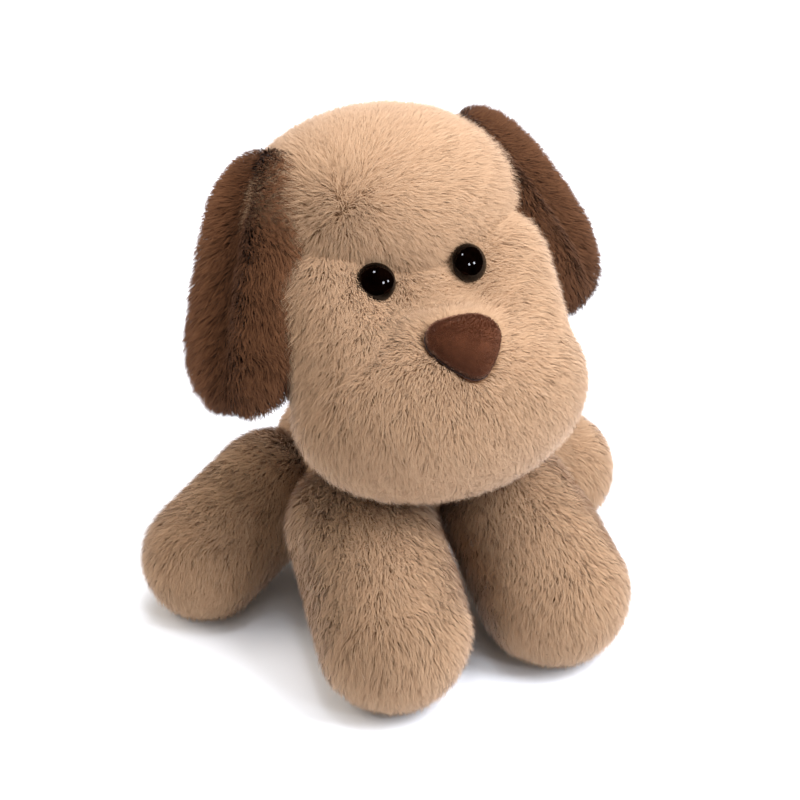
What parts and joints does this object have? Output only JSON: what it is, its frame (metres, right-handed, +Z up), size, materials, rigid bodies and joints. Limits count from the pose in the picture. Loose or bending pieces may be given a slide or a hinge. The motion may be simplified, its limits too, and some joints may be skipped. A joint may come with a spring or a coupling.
{
  "type": "seated plush dog",
  "caption": "Seated plush dog with fur-fabric panels over stuffing, drooping ears, round paws, domed eyes and a velvet nose; head, ears, legs and tail move.",
  "frame": {"origin": "on the floor, under the middle of the dog's box", "axes": "+Z up, the dog faces -Y, its left side is +X"},
  "size_m": [0.224, 0.19, 0.216],
  "materials": {
    "tan_fur": "long soft pile",
    "brown_fur": "long soft pile",
    "seat_cloth": "short pile",
    "nose_velvet": "short velvet pile",
    "eye_plastic": "polished",
    "washer_plastic": "moulded",
    "fibre": "loose polyester fibre",
    "pouch_cloth": "plain woven",
    "pellet_plastic": "small beads"
  },
  "bodies": {
    "torso": {"torso_cover_left": "tan_fur", "torso_cover_right": "tan_fur", "seat_panel": "seat_cloth", "torso_filling": "fibre", "pellet_pouch": "pouch_cloth", "pellets": "pellet_plastic"},
    "neck": {"neck_cover": "tan_fur"},
    "neck_core": {"neck_filling": "fibre"},
    "head": {"head_cover_left": "tan_fur", "head_cover_right": "tan_fur", "forehead_gusset": "tan_fur", "chin_panel": "tan_fur", "head_filling": "fibre", "nose_cover": "nose_velvet", "nose_filling": "fibre", "eye_left": "eye_plastic", "eye_right": "eye_plastic", "eye_washer_left": "washer_plastic", "eye_washer_right": "washer_plastic"},
    "tail": {"tail_cover_left": "tan_fur", "tail_cover_right": "tan_fur", "tail_filling": "fibre"},
    "ear_left": {"ear_outer_left": "brown_fur", "ear_lining_left": "brown_fur"},
    "front_leg_left": {"front_leg_outer_left": "tan_fur", "front_leg_inner_left": "tan_fur", "front_leg_filling_left": "fibre"},
    "hind_leg_left": {"hind_leg_back_left": "tan_fur", "hind_leg_front_left": "tan_fur", "hind_leg_filling_left": "fibre"},
    "ear_right": {"ear_outer_right": "brown_fur", "ear_lining_right": "brown_fur"},
    "front_leg_right": {"front_leg_outer_right": "tan_fur", "front_leg_inner_right": "tan_fur", "front_leg_filling_right": "fibre"},
    "hind_leg_right": {"hind_leg_back_right": "tan_fur", "hind_leg_front_right": "tan_fur", "hind_leg_filling_right": "fibre"}
  },
  "joints": [
    {"name": "head_turn", "type": "hinge", "parent": "torso", "child": "neck", "pos_m": [0, 0.014, 0.088], "axis": [0, 0, 1], "range_deg": [-40, 40], "stiffness_Nm_per_rad": 0.35},
    {"name": "head_tilt", "type": "hinge", "parent": "neck", "child": "neck_core", "pos_m": [0, 0.014, 0.088], "axis": [0, 1, 0], "range_deg": [-8, 8], "stiffness_Nm_per_rad": 1.2},
    {"name": "head_nod", "type": "hinge", "parent": "neck_core", "child": "head", "pos_m": [0, 0.014, 0.088], "axis": [-1, 0, 0], "range_deg": [0, 20], "stiffness_Nm_per_rad": 1.2},
    {"name": "ear_left_lift", "type": "hinge", "parent": "head", "child": "ear_left", "pos_m": [0.04019, 0.04913, 0.19983], "axis": [-0.719, -0.6943, -0.0316], "range_deg": [0, 90]},
    {"name": "ear_right_lift", "type": "hinge", "parent": "head", "child": "ear_right", "pos_m": [-0.03809, 0.04688, 0.20076], "axis": [-0.4223, 0.8657, -0.2687], "range_deg": [0, 90]},
    {"name": "front_leg_left_lift", "type": "hinge", "parent": "torso", "child": "front_leg_left", "pos_m": [0.035, -0.012, 0.05], "axis": [-1, 0, 0], "range_deg": [0, 30], "stiffness_Nm_per_rad": 0.5},
    {"name": "hind_leg_left_swing", "type": "hinge", "parent": "torso", "child": "hind_leg_left", "pos_m": [0.049, 0.042, 0.041], "axis": [0, 0, 1], "range_deg": [-25, 20], "stiffness_Nm_per_rad": 0.4},
    {"name": "front_leg_right_lift", "type": "hinge", "parent": "torso", "child": "front_leg_right", "pos_m": [-0.035, -0.012, 0.05], "axis": [-1, 0, 0], "range_deg": [0, 30], "stiffness_Nm_per_rad": 0.5},
    {"name": "hind_leg_right_swing", "type": "hinge", "parent": "torso", "child": "hind_leg_right", "pos_m": [-0.049, 0.042, 0.041], "axis": [0, 0, -1], "range_deg": [-25, 20], "stiffness_Nm_per_rad": 0.4},
    {"name": "tail_wag", "type": "hinge", "parent": "torso", "child": "tail", "pos_m": [0, 0.08034, 0.06889], "axis": [0, 1, 0], "range_deg": [-35, 35], "stiffness_Nm_per_rad": 0.02}
  ]
}
